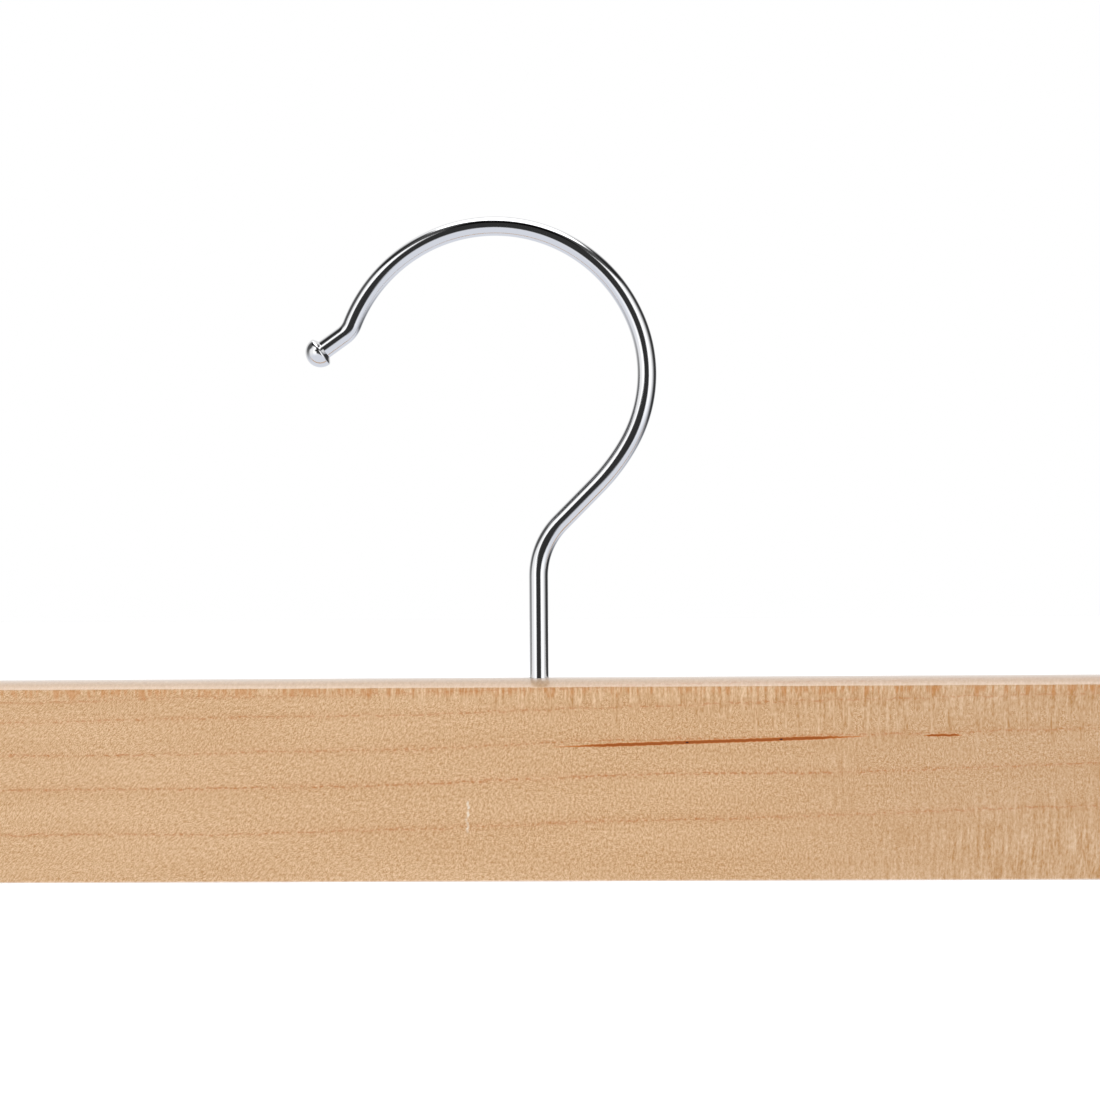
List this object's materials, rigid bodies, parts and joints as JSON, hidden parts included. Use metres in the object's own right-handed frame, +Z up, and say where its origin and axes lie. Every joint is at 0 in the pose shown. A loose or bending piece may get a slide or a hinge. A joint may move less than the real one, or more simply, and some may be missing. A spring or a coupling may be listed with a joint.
{
  "type": "clothes hanger",
  "caption": "Straight wooden bottoms hanger: flat bar with a crowned top edge, chrome swivel hook with a ball tip, and pinch clips with rubber pads that slide on U-shaped wire rails.",
  "frame": {"origin": "the point inside the hook's crown that bears on the clothes rail", "axes": "+X along the bar, the hook's tip is on the -X side; +Y from the front to the back; +Z up"},
  "size_m": [0.356, 0.021, 0.1783],
  "materials": {
    "maple": "light maple, clear satin lacquer",
    "chrome_wire": "bright chrome plate",
    "clip_steel": "bright plated sheet steel",
    "spring_steel": "plain spring wire",
    "zinc_hardware": "zinc plated",
    "pad_rubber": "matt moulded rubber"
  },
  "bodies": {
    "hook": {"hook": "chrome_wire", "hook_washer": "zinc_hardware", "hook_nut": "zinc_hardware"},
    "bar": {"hanger_bar": "maple", "left_rail": "chrome_wire", "right_rail": "chrome_wire"},
    "left_sleeve": {"left_pivot_sleeve": "clip_steel"},
    "left_rear_half": {"left_rear_jaw": "clip_steel", "left_rear_pad": "pad_rubber", "left_torsion_spring": "spring_steel"},
    "left_front_half": {"left_front_jaw": "clip_steel", "left_front_pad": "pad_rubber"},
    "right_sleeve": {"right_pivot_sleeve": "clip_steel"},
    "right_rear_half": {"right_rear_jaw": "clip_steel", "right_rear_pad": "pad_rubber", "right_torsion_spring": "spring_steel"},
    "right_front_half": {"right_front_jaw": "clip_steel", "right_front_pad": "pad_rubber"}
  },
  "joints": [
    {"name": "hook_swivel", "type": "hinge", "parent": "hook", "child": "bar", "pos_m": [0.00841, 0, -0.08705], "axis": [0, 0, 1], "continuous": true},
    {"name": "left_clip_slide", "type": "slide", "parent": "bar", "child": "left_sleeve", "axis": [1, 0, 0], "range_m": [-0.013, 0.013]},
    {"name": "left_clip_swing", "type": "hinge", "parent": "left_sleeve", "child": "left_rear_half", "pos_m": [-0.13409, 0, -0.14705], "axis": [1, 0, 0], "range_deg": [-100, 100]},
    {"name": "left_clip_open", "type": "hinge", "parent": "left_rear_half", "child": "left_front_half", "pos_m": [-0.13409, 0, -0.14705], "axis": [-1, 0, 0], "range_deg": [0, 50], "stiffness_Nm_per_rad": 0.06, "springref_deg": -114.59, "deforming": ["left_torsion_spring"]},
    {"name": "right_clip_slide", "type": "slide", "parent": "bar", "child": "right_sleeve", "axis": [1, 0, 0], "range_m": [-0.013, 0.013]},
    {"name": "right_clip_swing", "type": "hinge", "parent": "right_sleeve", "child": "right_rear_half", "pos_m": [0.15091, 0, -0.14705], "axis": [1, 0, 0], "range_deg": [-100, 100]},
    {"name": "right_clip_open", "type": "hinge", "parent": "right_rear_half", "child": "right_front_half", "pos_m": [0.15091, 0, -0.14705], "axis": [-1, 0, 0], "range_deg": [0, 50], "stiffness_Nm_per_rad": 0.06, "springref_deg": -114.59, "deforming": ["right_torsion_spring"]}
  ]
}
